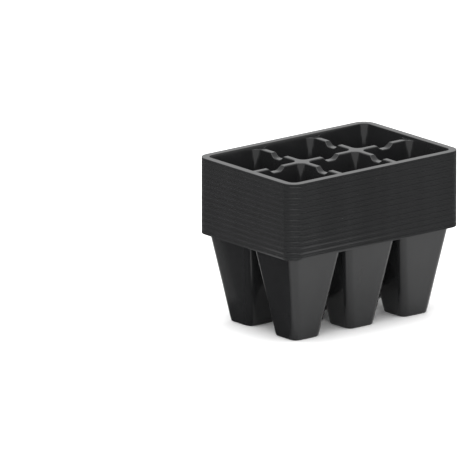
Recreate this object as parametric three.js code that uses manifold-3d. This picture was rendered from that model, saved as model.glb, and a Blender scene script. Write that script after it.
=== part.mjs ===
// A nested stack of six-cell plug trays, in millimetres with +Z up.
//
// Each tray is one thin moulding: a rim with a turned-down skirt, a cross of dividers, and six
// tapered cells with a drain hole in each floor. The cells' walls lean in enough for a tray to
// drop into the one below it until the rims meet. The origin is on the surface that the bottom
// tray's feet stand on, under the middle of the stack.

import * as THREE from 'three';
import { mergeVertices } from 'three/addons/utils/BufferGeometryUtils.js';
import Module from 'manifold-3d';

// Stack
const trayCount = 14;
const nestPitch = 6.48;                       // height that each further tray adds
const rimGap = 0.3;                           // daylight between one skirt and the next rim

// Plan of a tray
const columns = 3;
const rows = 2;
const cellOpening = 75;                       // clear width of a cell, level with the rim's top
const cellCornerCut = 6;                      // how much of each side a cell's corner takes off
const dividerWidth = 5.8;
const rimBand = 8.7;
const rimCorner = 16;

// Heights, measured down from the top of the rim
const trayHeight = 110.3;
const skirtHeight = nestPitch - rimGap;
const dividerDrop = 3.3;
const notchDrop = 8.5;

// Thicknesses
const plate = 2;                              // rim, dividers and skirt
const floor = 2.3;
const wall = 0.9;                             // measured level, across a leaning wall

// Details
const wallDraft = THREE.MathUtils.degToRad(9.5);
const notchFloor = 12;                        // length of a notch's level floor
const notchRamp = 5.5;                        // length of each of its sloping sides
const drainDiameter = 10;
const drainSides = 8;
const rimArcSteps = 2;
const plasticColour = 0x202123;

// Derived
const cellPitch = cellOpening + dividerWidth;
const trayLength = columns * cellPitch - dividerWidth + 2 * rimBand;
const trayWidth = rows * cellPitch - dividerWidth + 2 * rimBand;
const cellDepth = trayHeight - floor;
const clear = 5;                              // how far a cutter runs on through open air

const wasm = await Module();
wasm.setup();

// A closed BufferGeometry as a solid that can be joined and cut.
function toSolid(geometry) {
  const bare = geometry.index ? geometry.toNonIndexed() : geometry.clone();
  bare.deleteAttribute('normal');
  bare.deleteAttribute('uv');
  const merged = mergeVertices(bare, 1e-5);
  const vertProperties = new Float32Array(merged.attributes.position.array);
  const triVerts = new Uint32Array(merged.index.array);
  return new wasm.Manifold(new wasm.Mesh({ numProp: 3, vertProperties, triVerts }));
}

// A solid back as a BufferGeometry.
function toGeometry(solid) {
  const mesh = solid.getMesh();
  const geometry = new THREE.BufferGeometry();
  const positions = new THREE.BufferAttribute(new Float32Array(mesh.vertProperties), 3);
  geometry.setAttribute('position', positions);
  geometry.setIndex(new THREE.BufferAttribute(new Uint32Array(mesh.triVerts), 1));
  geometry.computeVertexNormals();
  return geometry;
}

// A rectangle about the origin with round corners.
function roundedRectangle(length, width, radius) {
  const x = length / 2 - radius;
  const y = width / 2 - radius;
  const shape = new THREE.Shape();
  shape.absarc(x, y, radius, 0, Math.PI / 2);
  shape.absarc(-x, y, radius, Math.PI / 2, Math.PI);
  shape.absarc(-x, -y, radius, Math.PI, 1.5 * Math.PI);
  shape.absarc(x, -y, radius, 1.5 * Math.PI, 2 * Math.PI);
  return shape;
}

// A square about the origin with its corners cut off.
function cutCornerSquare(size, cut) {
  const outer = size / 2;
  const inner = outer - cut;
  const corners = [
    [outer, inner], [inner, outer], [-inner, outer], [-outer, inner],
    [-outer, -inner], [-inner, -outer], [inner, -outer], [outer, -inner],
  ];
  return new THREE.Shape(corners.map(([x, y]) => new THREE.Vector2(x, y)));
}

// An outline drawn upwards from low to high.
function prism(shape, low, high, curveSegments = 1) {
  const options = { depth: high - low, bevelEnabled: false, curveSegments };
  return new THREE.ExtrudeGeometry(shape, options).translate(0, 0, low);
}

// A tapered cell, `opening` wide at the rim's top and narrowing down to `depth`: the space
// inside its walls, or all that its outside takes up.
function cell(opening, depth, top) {
  const cut = cellCornerCut * opening / cellOpening;
  const geometry = prism(cutCornerSquare(opening, cut), -depth, top);
  const position = geometry.attributes.position;
  for (let i = 0; i < position.count; i += 1) {
    const inset = -position.getZ(i) * Math.tan(wallDraft);
    const scale = 1 - inset / (opening / 2);
    position.setX(i, position.getX(i) * scale);
    position.setY(i, position.getY(i) * scale);
  }
  return toSolid(geometry);
}

// The bar of air that lowers one divider's top, along X.
function dividerSpace(length) {
  const width = dividerWidth + 2 * cellCornerCut + 2;
  const geometry = new THREE.BoxGeometry(length, width, dividerDrop + clear);
  return toSolid(geometry.translate(0, 0, (clear - dividerDrop) / 2));
}

// The dip in a divider that runs along X: a level floor between two ramps.
function notchSpace() {
  const rampSlope = notchRamp / (notchDrop - dividerDrop);
  const topHalf = notchFloor / 2 + rampSlope * (notchDrop + clear);
  const profile = new THREE.Shape();
  profile.moveTo(-notchFloor / 2, -notchDrop);
  profile.lineTo(notchFloor / 2, -notchDrop);
  profile.lineTo(topHalf, clear);
  profile.lineTo(-topHalf, clear);
  const across = dividerWidth + 2 * clear;
  return toSolid(prism(profile, -across / 2, across / 2).rotateX(Math.PI / 2));
}

// Places for `count` things in a line, one cell pitch apart.
function inLine(count) {
  return Array.from({ length: count }, (_, i) => (i - (count - 1) / 2) * cellPitch);
}

function atCells(solid) {
  const places = inLine(rows).flatMap((y) => inLine(columns).map((x) => [x, y, 0]));
  return places.map((place) => solid.translate(place));
}

// The lowered tops of the dividers and the notches in them. `extra` lengthens each divider.
function dividerSpaces(extra) {
  const inside = -2 * rimBand - 2 + extra;
  const lengthwise = dividerSpace(trayLength + inside);
  const crosswise = dividerSpace(trayWidth + inside).rotate([0, 0, 90]);
  const notch = notchSpace();
  const crossNotch = notch.rotate([0, 0, 90]);
  const spaces = [];
  for (const y of inLine(rows - 1)) {
    spaces.push(lengthwise.translate([0, y, 0]));
    spaces.push(...inLine(columns).map((x) => notch.translate([x, y, 0])));
  }
  for (const x of inLine(columns - 1)) {
    spaces.push(crosswise.translate([x, 0, 0]));
    spaces.push(...inLine(rows).map((y) => crossNotch.translate([x, y, 0])));
  }
  return wasm.Manifold.union(spaces);
}

// A slab with the rim's outline, `margin` larger all round.
function slab(margin, low, high) {
  const outline = roundedRectangle(
    trayLength + 2 * margin, trayWidth + 2 * margin, rimCorner + margin);
  return toSolid(prism(outline, low, high, rimArcSteps));
}

// Everything under a tray: the hollow of the rim, and all below it but the cells' outsides.
function undersideSpace() {
  const rimHollow = slab(-plate, -skirtHeight - 1, -plate);
  const below = slab(clear, -trayHeight - clear, -skirtHeight);
  const outside = cell(cellOpening + 2 * wall, trayHeight, clear);
  const dividers = dividerSpaces(2 * plate).translate([0, 0, -plate]);
  return rimHollow.add(below).subtract(wasm.Manifold.union(atCells(outside))).subtract(dividers);
}

function drainHoles() {
  const radius = drainDiameter / 2;
  const drill = new THREE.CylinderGeometry(radius, radius, 4 * floor, drainSides);
  const hole = toSolid(drill.rotateX(Math.PI / 2).translate(0, 0, -cellDepth));
  return wasm.Manifold.union(atCells(hole));
}

function trayGeometry() {
  const blank = slab(0, -trayHeight - 1, 0);
  const cells = wasm.Manifold.union(atCells(cell(cellOpening, cellDepth, clear)));
  const topSide = blank.subtract(cells).subtract(dividerSpaces(0));
  return toGeometry(topSide.subtract(undersideSpace()).subtract(drainHoles()));
}

// The trays, bottom to top. Every one is the same moulding.
const stack = new THREE.Group();
const moulding = trayGeometry();
for (let i = 0; i < trayCount; i += 1) {
  const plastic = new THREE.MeshStandardMaterial({ color: plasticColour, roughness: 0.42 });
  const tray = new THREE.Mesh(moulding, plastic);
  tray.name = `tray_${String(i + 1).padStart(2, '0')}`;
  tray.position.z = trayHeight + i * nestPitch;
  stack.add(tray);
}

export default stack;
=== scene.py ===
"""A nested stack of black plastic plug trays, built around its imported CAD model.

Every tray is the same moulding, so one detailed mesh is made and each tray of the stack uses it.
The mesh is drawn in millimetres about the middle of the tray, with z = 0 at the top of the rim.
"""

import math

import bmesh
import bpy
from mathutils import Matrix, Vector


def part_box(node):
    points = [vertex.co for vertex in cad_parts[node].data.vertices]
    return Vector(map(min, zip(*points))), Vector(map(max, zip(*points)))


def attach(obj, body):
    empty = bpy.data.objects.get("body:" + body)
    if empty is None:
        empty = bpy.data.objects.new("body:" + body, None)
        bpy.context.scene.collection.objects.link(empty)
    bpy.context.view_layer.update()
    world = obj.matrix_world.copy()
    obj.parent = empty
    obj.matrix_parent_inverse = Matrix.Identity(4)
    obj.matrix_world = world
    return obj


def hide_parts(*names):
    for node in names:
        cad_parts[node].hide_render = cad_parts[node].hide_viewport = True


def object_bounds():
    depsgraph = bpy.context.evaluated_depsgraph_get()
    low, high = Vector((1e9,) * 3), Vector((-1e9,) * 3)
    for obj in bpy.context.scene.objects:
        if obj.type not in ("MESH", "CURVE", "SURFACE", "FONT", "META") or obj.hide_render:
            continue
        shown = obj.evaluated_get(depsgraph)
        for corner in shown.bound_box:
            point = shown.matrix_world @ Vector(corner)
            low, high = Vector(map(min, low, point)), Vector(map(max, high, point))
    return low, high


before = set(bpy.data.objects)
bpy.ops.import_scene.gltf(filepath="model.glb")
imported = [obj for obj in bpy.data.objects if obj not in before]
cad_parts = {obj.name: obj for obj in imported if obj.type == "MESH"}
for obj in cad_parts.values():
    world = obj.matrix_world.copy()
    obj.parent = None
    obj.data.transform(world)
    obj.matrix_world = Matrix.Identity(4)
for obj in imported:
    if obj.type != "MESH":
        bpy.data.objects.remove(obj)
cad_low, cad_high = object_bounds()

MM = 0.001
TRAYS = sorted(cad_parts)
tray_low, tray_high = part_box(TRAYS[0])
RIM_LENGTH = (tray_high.x - tray_low.x) / MM
TRAY_HEIGHT = (tray_high.z - tray_low.z) / MM
NEST_PITCH = (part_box(TRAYS[1])[1].z - tray_high.z) / MM

# Plan of a tray
COLUMNS = 3
ROWS = 2
RIM_BAND = 8.7
RIM_RADIUS = 16.0
DIVIDER = 5.8
PITCH = (RIM_LENGTH - 2 * RIM_BAND + DIVIDER) / COLUMNS
HALF_PITCH = PITCH / 2
HALF_OPENING = (PITCH - DIVIDER) / 2
TO_OUTLINE = HALF_OPENING + RIM_BAND

# Heights and thicknesses
RIM_GAP = 0.3                   # daylight between one skirt and the next rim
SKIRT = NEST_PITCH - RIM_GAP
PLATE = 2.0
FLOOR = 2.3
WALL = 0.9
DIVIDER_DROP = 3.3
NOTCH_DEPTH = 5.2
NOTCH_LEVEL_HALF = 3.5
NOTCH_HALF = 11.6
DRAFT = math.tan(math.radians(9.5))

# Roundings and small details
CORNER_RADIUS = 8.2
DIVIDER_EDGE = 0.9
RIM_INNER_EDGE = 0.6
RIM_OUTER_EDGE = 0.35
SKIRT_EDGE = 0.25
PARTING_WIDTH = 0.55
PARTING_DEPTH = 0.8
PARTING_EDGE = 0.2
ROUND_MIDDLE = 0.3              # inset of a round edge's middle, as a share of its radius
CUSP_SHARE = 0.6                # share of a narrowing gap that a round edge may fill
FOOT_INSIDE = 2.0
FOOT_OUTSIDE = 2.4
DRAIN_RADIUS = 5.0
DRAIN_EDGE = 0.3
PAD_RADIUS = 8.4
PAD_HEIGHT = 0.5
FLOOR_RING = 11.5               # radius of the last ring round a drain hole

# Sampling. Stops are distances from the middle of a cell's side, levels are depths as shares of a
# cell's depth, and steps are depths below the top of a wall.
STRAIGHT = HALF_OPENING - CORNER_RADIUS
SIDE_STOPS = (
    0, NOTCH_LEVEL_HALF, 5.2, 6.6, 7.8, 8.9, 9.8, 10.7, NOTCH_HALF, 16.0, 22.0, STRAIGHT)
WALL_LEVELS = (0.96, 0.86, 0.74, 0.61, 0.48, 0.36, 0.27, 0.21, 0.185, 0.16, 0.135)
TOP_STEPS = (1.5, 0.6, 0)
ARC_STEPS = 8
EDGE_STEPS = 3
WELD = 0.002
SHARP = math.radians(40)

# Plastic
PLASTIC_DARK = (0.0112, 0.0114, 0.0118, 1)
PLASTIC_LIGHT = (0.0146, 0.0149, 0.0154, 1)
PLASTIC_IOR = 1.36
ROUGHNESS = (0.09, 0.13)
FLOW_SCALE = 28
FLOW_DETAIL = 3
FLOW_STRETCH = (1, 1, 0.35)
GLOSS_SCALE = 60
GLOSS_DETAIL = 4
GRAIN_SCALE = 900
GRAIN_DETAIL = 2
GRAIN_STRENGTH = 0.12
GRAIN_HEIGHT = 0.0001
NOISE_RANGE = (0.3, 0.7)        # where most of a noise's values lie


def notch_dip(along):
    """How far a divider's top dips at this distance from the middle of a cell's side. The dip
    rises out of its level floor in a curve, to a crisp edge at the divider's top."""
    climb = (abs(along) - NOTCH_LEVEL_HALF) / (NOTCH_HALF - NOTCH_LEVEL_HALF)
    return NOTCH_DEPTH * (1 - max(0.0, min(1.0, climb)) ** 2)


def on_corner(half, radius, angle):
    """A point `angle` round a corner."""
    centre = half - radius
    return (centre + radius * math.cos(angle), centre + radius * math.sin(angle))


def edge_arc(edge):
    """Points over an edge between a leaning wall and a level top, as (outwards, up) from where
    the wall's line would reach the top."""
    lean = math.pi / 2 - math.atan(DRAFT)
    setback = edge * math.tan(lean / 2)
    turns = [lean * (1 - i / EDGE_STEPS) for i in range(EDGE_STEPS + 1)]
    return [(setback - edge * math.sin(turn), edge * (math.cos(turn) - 1)) for turn in turns]


def foot_arc(edge):
    """Points from a level floor round into a leaning wall, as (outwards, up) from where they
    would meet."""
    lean = math.pi / 2 - math.atan(DRAFT)
    setback = edge * math.tan(lean / 2)
    turns = [lean * i / EDGE_STEPS for i in range(EDGE_STEPS + 1)]
    return [(edge * math.sin(turn) - setback, edge * (1 - math.cos(turn))) for turn in turns]


SIDE_FRACTIONS = [-stop / STRAIGHT for stop in reversed(SIDE_STOPS[1:])]
SIDE_FRACTIONS += [stop / STRAIGHT for stop in SIDE_STOPS]
ARC_ANGLES = [math.radians(90 * i / ARC_STEPS) for i in range(ARC_STEPS + 1)]
# Where a divider's end is crossed on its way into the rim, as shares of half its width
END_SHARES = [1 / math.tan(angle) for angle in reversed(ARC_ANGLES[ARC_STEPS // 2:-1])]
# Direction from a drain hole to where a corner of the floor starts
CORNER_BEARING = math.atan(0.73)


class Skin:
    """One side of the moulding: the top side, or the underside a wall's thickness outside it."""

    def __init__(self, offset, floor, foot, divider_drop, rim_drop, rim_edge, band_inset, rings):
        self.offset = offset
        self.radius = CORNER_RADIUS + offset
        self.floor = floor
        self.foot = foot
        self.divider_drop = divider_drop
        self.rim_drop = rim_drop
        self.rim_edge = rim_edge
        self.band_inset = band_inset
        self.rings = rings

    def half(self, depth):
        """Half the width between a cell's walls at a depth."""
        return HALF_OPENING + self.offset - DRAFT * depth

    def straight(self, depth):
        """Half the length of the straight stretch of a cell's side."""
        return self.half(depth) - self.radius

    def cusp_edge(self, angle):
        """How round a divider's edge is where its corner runs out into the rim, `angle` past
        the divider's straight stretch."""
        if angle <= 0:
            return DIVIDER_EDGE
        gap = self.radius * (1 - math.sin(angle))
        return min(DIVIDER_EDGE, CUSP_SHARE * gap / math.sin(angle))


CELL_DEPTH = TRAY_HEIGHT - FLOOR
MID_FLOOR = TRAY_HEIGHT - FLOOR / 2
PAD_TOP = CELL_DEPTH - PAD_HEIGHT
TOP_SIDE = Skin(
    offset=0, floor=CELL_DEPTH, foot=FOOT_INSIDE, divider_drop=DIVIDER_DROP, rim_drop=0,
    rim_edge=RIM_INNER_EDGE, band_inset=RIM_OUTER_EDGE,
    rings=[(DRAIN_RADIUS, MID_FLOOR), (DRAIN_RADIUS, PAD_TOP + DRAIN_EDGE),
           (DRAIN_RADIUS + DRAIN_EDGE, PAD_TOP), (PAD_RADIUS, PAD_TOP),
           (PAD_RADIUS + PAD_HEIGHT, CELL_DEPTH), (FLOOR_RING, CELL_DEPTH)])
UNDERSIDE = Skin(
    offset=WALL, floor=TRAY_HEIGHT, foot=FOOT_OUTSIDE, divider_drop=DIVIDER_DROP + PLATE,
    rim_drop=PLATE, rim_edge=DIVIDER_EDGE, band_inset=PLATE,
    rings=[(DRAIN_RADIUS, MID_FLOOR), (DRAIN_RADIUS, TRAY_HEIGHT - DRAIN_EDGE),
           (DRAIN_RADIUS + DRAIN_EDGE, TRAY_HEIGHT), (FLOOR_RING, TRAY_HEIGHT)])


def skirt_profile():
    """The rim's edge and its skirt, from the rim's top round to the rim's underside, as
    (inset from the outline, z)."""
    turns = [math.pi / 2 * i / EDGE_STEPS for i in range(EDGE_STEPS + 1)]
    profile = [(RIM_OUTER_EDGE * (1 - math.sin(turn)), RIM_OUTER_EDGE * (math.cos(turn) - 1))
               for turn in turns]
    middle = -(SKIRT + RIM_OUTER_EDGE - SKIRT_EDGE) / 2
    half = PARTING_WIDTH / 2
    profile += [(0, middle + half + PARTING_EDGE), (PARTING_EDGE, middle + half),
                (PARTING_DEPTH, middle + half), (PARTING_DEPTH, middle - half),
                (PARTING_EDGE, middle - half), (0, middle - half - PARTING_EDGE)]
    inset = ROUND_MIDDLE * SKIRT_EDGE
    profile += [(0, SKIRT_EDGE - SKIRT), (inset, inset - SKIRT), (SKIRT_EDGE, -SKIRT)]
    profile += [(PLATE - SKIRT_EDGE, -SKIRT), (PLATE, SKIRT_EDGE - SKIRT), (PLATE, -PLATE)]
    return profile


class Cell:
    """One cell's share of one side of the moulding, from its drain hole out to the dividers'
    middles and the rim's outline. Its sides are counted anticlockwise from +X, and each corner
    follows the side of the same number. Points on a side are (outwards, along) from the middle
    of the cell, with `along` going anticlockwise."""

    def __init__(self, bm, skin, column, row):
        self.bm = bm
        self.skin = skin
        self.centre = ((column - (COLUMNS - 1) / 2) * PITCH, (row - (ROWS - 1) / 2) * PITCH)
        self.rim = (column == COLUMNS - 1, row == ROWS - 1, column == 0, row == 0)

    def place(self, side, point, z):
        """A point on a side, as a point of the tray."""
        x, y = point
        for _ in range(side):
            x, y = -y, x
        return (self.centre[0] + x, self.centre[1] + y, z)

    def patch(self, columns):
        """Joins neighbouring columns of points with quads."""
        grid = [[self.bm.verts.new(point) for point in column] for column in columns]
        for left, right in zip(grid, grid[1:]):
            for i in range(len(left) - 1):
                self.bm.faces.new((left[i], right[i], right[i + 1], left[i + 1]))

    def divider_depth(self, fraction):
        """Depth of a divider's top, `fraction` of the way from its middle to its end."""
        return self.skin.divider_drop + notch_dip(fraction * STRAIGHT)

    def side_top(self, side, fraction):
        """Depth at which a side's leaning wall ends."""
        if self.rim[side]:
            return self.skin.divider_drop
        return self.divider_depth(fraction) - edge_arc(DIVIDER_EDGE)[0][1]

    def corner_top(self, side, angle):
        """The same at a corner, `angle` round from this side towards the next."""
        here, following = self.rim[side], self.rim[(side + 1) % 4]
        if here and following:
            return self.skin.divider_drop
        edge = DIVIDER_EDGE
        if here:
            edge = self.skin.cusp_edge(math.pi / 2 - angle)
        if following:
            edge = self.skin.cusp_edge(angle)
        return self.skin.divider_drop - edge_arc(edge)[0][1]

    def bowl_column(self, side, plan, bearing, top):
        """Points from the drain hole up one line of the wall. `plan` gives the wall's place at
        a depth, moved outwards by an amount, and `bearing` the line's direction on the floor."""
        skin = self.skin
        points = [((radius * math.cos(bearing), radius * math.sin(bearing)), -depth)
                  for radius, depth in skin.rings]
        points += [(plan(skin.floor, outwards), up - skin.floor)
                   for outwards, up in foot_arc(skin.foot)]
        depths = [CELL_DEPTH * level for level in WALL_LEVELS]
        depths += [top + step for step in TOP_STEPS]
        points += [(plan(depth, 0), -depth) for depth in depths]
        return [self.place(side, point, z) for point, z in points]

    def side_plan(self, fraction):
        """The plan of one line of a side's wall, `fraction` of the way to its straight end."""
        def plan(depth, outwards):
            return (self.skin.half(depth) + outwards, fraction * self.skin.straight(depth))
        return plan

    def corner_plan(self, angle):
        """The plan of one line of a corner's wall, `angle` round it."""
        def plan(depth, outwards):
            half = self.skin.half(depth)
            return on_corner(half + outwards, self.skin.radius + outwards, angle)
        return plan

    def bowl(self):
        """The cell's floor and walls, all the way round."""
        columns = []
        for side in range(4):
            for fraction in SIDE_FRACTIONS:
                bearing = math.atan(fraction * math.tan(CORNER_BEARING))
                top = self.side_top(side, fraction)
                columns.append(self.bowl_column(side, self.side_plan(fraction), bearing, top))
            for angle in ARC_ANGLES[1:-1]:
                turn = angle / (math.pi / 2)
                bearing = CORNER_BEARING + (math.pi / 2 - 2 * CORNER_BEARING) * turn
                top = self.corner_top(side, angle)
                columns.append(self.bowl_column(side, self.corner_plan(angle), bearing, top))
        columns.append(columns[0])
        self.patch(columns)

    def top_column(self, side, plan, depth, edge, target, mirror=False):
        """Points over a divider's edge and across its top to `target`."""
        arc = edge_arc(edge)
        start = depth - arc[0][1]
        points = [(plan(start, 0), -start)]
        points += [(plan(depth, outwards), up - depth) for outwards, up in arc[1:]]
        points.append((target, -depth))
        if mirror:
            points = [((y, x), z) for (x, y), z in points]
        return [self.place(side, point, z) for point, z in points]

    def divider_side(self, side):
        """Half of a divider's top along one cell, dipping at its middle."""
        columns = []
        for fraction in SIDE_FRACTIONS:
            depth = self.divider_depth(fraction)
            target = (HALF_PITCH, fraction * self.skin.straight(self.skin.divider_drop))
            plan = self.side_plan(fraction)
            columns.append(self.top_column(side, plan, depth, DIVIDER_EDGE, target))
        self.patch(columns)

    def corner_targets(self, across):
        """Points from the end of a divider's straight stretch along its middle and then along
        `across`, a line over the divider, one for each of a corner's angles."""
        start = self.skin.straight(self.skin.divider_drop)
        targets = []
        for angle in ARC_ANGLES:
            if angle <= math.pi / 4:
                targets.append((HALF_PITCH, start + (across - start) * math.tan(angle)))
            else:
                targets.append((start + (HALF_PITCH - start) / math.tan(angle), across))
        return targets

    def junction_corner(self, side):
        """A quarter of the crossing of two dividers."""
        drop = self.skin.divider_drop
        self.patch([
            self.top_column(side, self.corner_plan(angle), drop, DIVIDER_EDGE, target)
            for angle, target in zip(ARC_ANGLES, self.corner_targets(HALF_PITCH))])

    def divider_end(self, side, mirror):
        """Half of a divider's top where it meets the rim. The divider lies beyond this side, or
        with `mirror` beyond the next one."""
        drop = self.skin.divider_drop
        targets = self.corner_targets(self.skin.half(drop))
        self.patch([
            self.top_column(
                side, self.corner_plan(angle), drop, self.skin.cusp_edge(angle), target, mirror)
            for angle, target in zip(ARC_ANGLES, targets)])

    def band_column(self, side, plan, outline):
        """From the top of a cell's wall over the rim's inner edge and out across the rim."""
        skin = self.skin
        points = [(plan(skin.divider_drop, 0), -skin.divider_drop)]
        points += [(plan(skin.rim_drop, outwards), up - skin.rim_drop)
                   for outwards, up in edge_arc(skin.rim_edge)]
        points.append((outline(skin.band_inset), -skin.rim_drop))
        return [self.place(side, point, z) for point, z in points]

    def rim_stations(self, side):
        """Stations along the rim beside the cell, as pairs of functions: the inner wall's plan,
        and the outline's point at an inset. They run on to the middle of any divider."""
        marks = [(fraction, 0) for fraction in SIDE_FRACTIONS]
        if not self.rim[side - 1]:
            marks = [(-1, share) for share in reversed(END_SHARES)] + marks
        if not self.rim[(side + 1) % 4]:
            marks += [(1, share) for share in END_SHARES]
        stations = [self.side_station(side, *mark) for mark in marks]
        if self.rim[(side + 1) % 4]:
            stations += [self.corner_station(angle) for angle in ARC_ANGLES[1:]]
        return stations

    def side_station(self, side, fraction, share):
        """A station beside a straight wall, or `share` of the way on to a divider's middle."""
        turns = self.rim[(side + 1) % 4] if fraction > 0 else self.rim[side - 1]
        straight = TO_OUTLINE - RIM_RADIUS if turns else STRAIGHT

        def reach(start):
            return math.copysign(abs(fraction) * start + share * (HALF_PITCH - start), fraction)

        def plan(depth, outwards):
            return (self.skin.half(depth) + outwards, reach(self.skin.straight(depth)))

        def outline(inset):
            return (TO_OUTLINE - inset, reach(straight))
        return plan, outline

    def corner_station(self, angle):
        """A station at a corner of the tray."""
        def outline(inset):
            return on_corner(TO_OUTLINE - inset, RIM_RADIUS - inset, angle)
        return self.corner_plan(angle), outline

    def rim_side(self, side):
        """The rim beside the cell, and the top of the wall below it."""
        self.patch([self.band_column(side, *station) for station in self.rim_stations(side)])

    def skirt_side(self, side):
        """The rim's outer edge and its skirt, inside and out."""
        profile = skirt_profile()
        self.patch([
            [self.place(side, outline(inset), z) for inset, z in profile]
            for _, outline in self.rim_stations(side)])

    def build(self):
        """All of the cell's share but the skirt."""
        self.bowl()
        for side in range(4):
            rim_next = self.rim[(side + 1) % 4]
            if self.rim[side]:
                self.rim_side(side)
                if not rim_next:
                    self.divider_end(side, mirror=True)
            else:
                self.divider_side(side)
                if rim_next:
                    self.divider_end(side, mirror=False)
                else:
                    self.junction_corner(side)


def moulding_mesh():
    """The whole moulding as one closed mesh, in metres."""
    bm = bmesh.new()
    for column in range(COLUMNS):
        for row in range(ROWS):
            for skin in (TOP_SIDE, UNDERSIDE):
                Cell(bm, skin, column, row).build()
            outer = Cell(bm, TOP_SIDE, column, row)
            for side in range(4):
                if outer.rim[side]:
                    outer.skirt_side(side)
    bmesh.ops.remove_doubles(bm, verts=bm.verts, dist=WELD)
    bmesh.ops.dissolve_degenerate(bm, edges=bm.edges, dist=WELD)
    bmesh.ops.recalc_face_normals(bm, faces=bm.faces)
    bmesh.ops.scale(bm, vec=(MM, MM, MM), verts=bm.verts)
    mesh = bpy.data.meshes.new("moulding")
    bm.to_mesh(mesh)
    bm.free()
    mesh.shade_smooth()
    mesh.set_sharp_from_angle(angle=SHARP)
    return mesh


def with_even_shading(mesh):
    """The same mesh with normals that keep its flat faces flat beside their roundings."""
    holder = bpy.data.objects.new("holder", mesh)
    bpy.context.scene.collection.objects.link(holder)
    weigh = holder.modifiers.new("weigh", "WEIGHTED_NORMAL")
    weigh.keep_sharp = True
    depsgraph = bpy.context.evaluated_depsgraph_get()
    shaded = bpy.data.meshes.new_from_object(
        holder.evaluated_get(depsgraph), preserve_all_data_layers=True, depsgraph=depsgraph)
    bpy.data.objects.remove(holder)
    return shaded


def link(nodes, start, end):
    """Joins two sockets of one material's or world's nodes."""
    nodes.id_data.links.new(start, end)


def noise(nodes, coordinates, scale, detail, stretch=(1, 1, 1)):
    """Noise in the tray's own space, with features about 1 / `scale` metres across."""
    mapping = nodes.new("ShaderNodeMapping")
    mapping.inputs["Scale"].default_value = stretch
    texture = nodes.new("ShaderNodeTexNoise")
    texture.inputs["Scale"].default_value = scale
    texture.inputs["Detail"].default_value = detail
    link(nodes, coordinates.outputs["Object"], mapping.inputs["Vector"])
    link(nodes, mapping.outputs["Vector"], texture.inputs["Vector"])
    return texture.outputs["Fac"]


def ramp(nodes, value, start, end, low, high):
    """`value` mapped from start..end to low..high."""
    mapped = nodes.new("ShaderNodeMapRange")
    mapped.inputs["From Min"].default_value = start
    mapped.inputs["From Max"].default_value = end
    mapped.inputs["To Min"].default_value = low
    mapped.inputs["To Max"].default_value = high
    link(nodes, value, mapped.inputs["Value"])
    return mapped.outputs["Result"]


def black_plastic():
    """Satin black moulded plastic: faint flow marks in its shade and gloss, and a fine grain."""
    material = bpy.data.materials.new("black_plastic")
    material.use_nodes = True
    nodes = material.node_tree.nodes
    surface = nodes["Principled BSDF"]
    surface.inputs["IOR"].default_value = PLASTIC_IOR
    coordinates = nodes.new("ShaderNodeTexCoord")

    flow = noise(nodes, coordinates, FLOW_SCALE, FLOW_DETAIL, FLOW_STRETCH)
    tint = nodes.new("ShaderNodeMix")
    tint.data_type = "RGBA"
    tint.inputs["A"].default_value = PLASTIC_DARK
    tint.inputs["B"].default_value = PLASTIC_LIGHT
    link(nodes, ramp(nodes, flow, *NOISE_RANGE, 0, 1), tint.inputs["Factor"])
    link(nodes, tint.outputs["Result"], surface.inputs["Base Color"])

    gloss = noise(nodes, coordinates, GLOSS_SCALE, GLOSS_DETAIL)
    link(nodes, ramp(nodes, gloss, *NOISE_RANGE, *ROUGHNESS), surface.inputs["Roughness"])

    grain = noise(nodes, coordinates, GRAIN_SCALE, GRAIN_DETAIL)
    bump = nodes.new("ShaderNodeBump")
    bump.inputs["Strength"].default_value = GRAIN_STRENGTH
    bump.inputs["Distance"].default_value = GRAIN_HEIGHT
    link(nodes, grain, bump.inputs["Height"])
    link(nodes, bump.outputs["Normal"], surface.inputs["Normal"])
    return material


def add_trays():
    """The stack: one mesh, used by an object for every tray."""
    mesh = with_even_shading(moulding_mesh())
    mesh.materials.append(black_plastic())
    for node in TRAYS:
        tray = bpy.data.objects.new(f"moulded_{node}", mesh)
        bpy.context.scene.collection.objects.link(tray)
        tray.location.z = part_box(node)[1].z
        bpy.context.view_layer.update()
        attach(tray, node)
        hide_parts(node)


# The studio. The photographer stood off the tray's left front corner and looked slightly down.
AZIMUTH = math.radians(-39.4)
ELEVATION = math.radians(15.2)
LENS = 1400.0
SENSOR = 36.0
FRAME_WIDTH = 0.5443
RIM_RIGHT_OF_MIDDLE = 0.1058
RIM_ABOVE_MIDDLE = 0.0967
CLIP_END = 1000
FLOOR_SIZE = 60.0
FLOOR_SIDES = 96
FLOOR_NEAR = 0.42
PAPER_WHITE = (0.97, 0.97, 0.97, 1)
PAPER_ROUGHNESS = 0.9
# Painted shade: the black of a card seen only in reflections, darkening the legs' left sides
REFLECTED_SHADE_BLACK = (0.01, 0.01, 0.01, 1)
DULL_SPECULAR = 0.1
SKY_FRONT = 1.55
SKY_BACK = 1.0
GROUND_SHARE = 0.2
HORIZON_BLUR = 0.12
OVERHEAD_HEIGHT = 2.6
OVERHEAD_SIZE = 2.2
OVERHEAD_WATTS = 52.0
# Placement of the black card whose reflection paints shade into the legs' left sides
FLAG_GAP = 0.012
FLAG_FOOT = 0.03
FLAG_LIFT = 0.0005
FLAG_SPAN = (-0.072, 0.17)
FLAG_FADES = (0.03, 0.09)
FLAG_HEIGHT = 0.088


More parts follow.
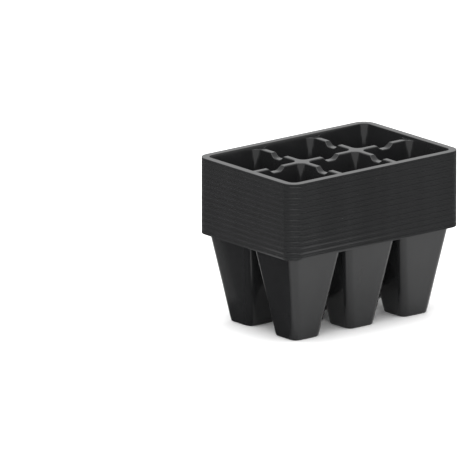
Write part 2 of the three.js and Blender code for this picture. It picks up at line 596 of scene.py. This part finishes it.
def add_camera():
    """A very long lens, which sees the stack almost without perspective."""
    back = Vector((math.sin(AZIMUTH) * math.cos(ELEVATION),
                   -math.cos(AZIMUTH) * math.cos(ELEVATION),
                   math.sin(ELEVATION)))
    right = Vector((math.cos(AZIMUTH), math.sin(AZIMUTH), 0))
    up = back.cross(right)
    rim = Vector((0, 0, cad_high.z))
    target = rim - right * RIM_RIGHT_OF_MIDDLE - up * RIM_ABOVE_MIDDLE
    data = bpy.data.cameras.new("camera")
    data.lens = LENS
    data.sensor_width = SENSOR
    data.clip_end = CLIP_END
    camera = bpy.data.objects.new("camera", data)
    camera.location = target + back * (FRAME_WIDTH * LENS / SENSOR)
    camera.rotation_euler = (-back).to_track_quat("-Z", "Y").to_euler()
    bpy.context.scene.collection.objects.link(camera)
    bpy.context.scene.camera = camera


def paper():
    """Matt white paper."""
    material = bpy.data.materials.new("paper")
    material.use_nodes = True
    surface = material.node_tree.nodes["Principled BSDF"]
    surface.inputs["Base Color"].default_value = PAPER_WHITE
    surface.inputs["Roughness"].default_value = PAPER_ROUGHNESS
    surface.inputs["Specular IOR Level"].default_value = DULL_SPECULAR
    return material


def add_floor_piece(name, radii, material):
    """A round sheet of one radius, or a ring between two."""
    angles = [math.tau * i / FLOOR_SIDES for i in range(FLOOR_SIDES)]
    bm = bmesh.new()
    circles = [[bm.verts.new((radius * math.cos(a), radius * math.sin(a), 0)) for a in angles]
               for radius in radii]
    if len(circles) == 1:
        bm.faces.new(circles[0])
    for inner, outer in zip(circles, circles[1:]):
        for i in range(FLOOR_SIDES):
            bm.faces.new((inner[i - 1], outer[i - 1], outer[i], inner[i]))
    mesh = bpy.data.meshes.new(name)
    bm.to_mesh(mesh)
    bm.free()
    mesh.materials.append(material)
    piece = bpy.data.objects.new(name, mesh)
    bpy.context.scene.collection.objects.link(piece)
    return piece


def add_floor():
    """White paper. Its far part stays out of reflections, where the darker end of the studio
    shows instead."""
    material = paper()
    add_floor_piece("floor_near", (FLOOR_NEAR,), material)
    far = add_floor_piece("floor_far", (FLOOR_NEAR, FLOOR_SIZE / 2), material)
    far.visible_glossy = False


def reflected_shade_card():
    """Black, thinning out to nothing towards its front and back ends: a painted shade, seen only
    in reflections.
    """
    material = bpy.data.materials.new("reflected_shade_card")
    material.use_nodes = True
    nodes = material.node_tree.nodes
    surface = nodes["Principled BSDF"]
    surface.inputs["Base Color"].default_value = REFLECTED_SHADE_BLACK
    surface.inputs["Specular IOR Level"].default_value = DULL_SPECULAR
    coordinates = nodes.new("ShaderNodeTexCoord")
    split = nodes.new("ShaderNodeSeparateXYZ")
    link(nodes, coordinates.outputs["Object"], split.inputs["Vector"])
    front, back = FLAG_SPAN
    fade_in = ramp(nodes, split.outputs["Y"], front, front + FLAG_FADES[0], 0, 1)
    fade_out = ramp(nodes, split.outputs["Y"], back - FLAG_FADES[1], back, 1, 0)
    cover = nodes.new("ShaderNodeMath")
    cover.operation = "MULTIPLY"
    link(nodes, fade_in, cover.inputs[0])
    link(nodes, fade_out, cover.inputs[1])
    link(nodes, cover.outputs["Value"], surface.inputs["Alpha"])
    return material


def add_flag():
    """A black card beside the stack's left end, on the floor and then upright, seen only in
    reflections. It paints shade into the legs' left sides: a dark reflection standing in for the
    shade of a dark neighbour."""
    foot = cad_low.x + FLAG_FOOT
    back = cad_low.x - FLAG_GAP
    section = [(foot, FLAG_LIFT), (back, FLAG_LIFT), (back, FLAG_HEIGHT)]
    mesh = bpy.data.meshes.new("shade_flag")
    mesh.from_pydata([(x, y, z) for y in FLAG_SPAN for x, z in section], [],
                     [(0, 1, 4, 3), (1, 2, 5, 4)])
    mesh.materials.append(reflected_shade_card())
    shade_flag = bpy.data.objects.new("shade_flag", mesh)
    bpy.context.scene.collection.objects.link(shade_flag)
    shade_flag.visible_camera = False
    shade_flag.visible_diffuse = False
    shade_flag.visible_shadow = False


def add_overhead():
    """A square soft light straight above the stack, clear of the tallest it can be drawn out."""
    data = bpy.data.lights.new("overhead", "AREA")
    data.shape = "SQUARE"
    data.size = OVERHEAD_SIZE
    data.energy = OVERHEAD_WATTS
    lamp = bpy.data.objects.new("overhead", data)
    lamp.location.z = OVERHEAD_HEIGHT
    lamp.visible_camera = False
    bpy.context.scene.collection.objects.link(lamp)


def add_sky():
    """A white tent that is brighter on the photographer's side, over a dark lower half."""
    world = bpy.data.worlds.new("studio")
    world.use_nodes = True
    nodes = world.node_tree.nodes
    coordinates = nodes.new("ShaderNodeTexCoord")
    split = nodes.new("ShaderNodeSeparateXYZ")
    link(nodes, coordinates.outputs["Generated"], split.inputs["Vector"])
    facing = nodes.new("ShaderNodeVectorMath")
    facing.operation = "DOT_PRODUCT"
    facing.inputs[1].default_value = (math.sin(AZIMUTH), -math.cos(AZIMUTH), 0)
    link(nodes, coordinates.outputs["Generated"], facing.inputs[0])
    across = ramp(nodes, facing.outputs["Value"], -1, 1, SKY_BACK, SKY_FRONT)
    upwards = ramp(nodes, split.outputs["Z"], -HORIZON_BLUR, 0, GROUND_SHARE, 1)
    strength = nodes.new("ShaderNodeMath")
    strength.operation = "MULTIPLY"
    link(nodes, across, strength.inputs[0])
    link(nodes, upwards, strength.inputs[1])
    link(nodes, strength.outputs["Value"], nodes["Background"].inputs["Strength"])
    nodes["Background"].inputs["Color"].default_value = (1, 1, 1, 1)
    bpy.context.scene.world = world
    bpy.context.scene.view_settings.view_transform = "Standard"


add_trays()
add_floor()
add_flag()
add_sky()
add_overhead()
add_camera()
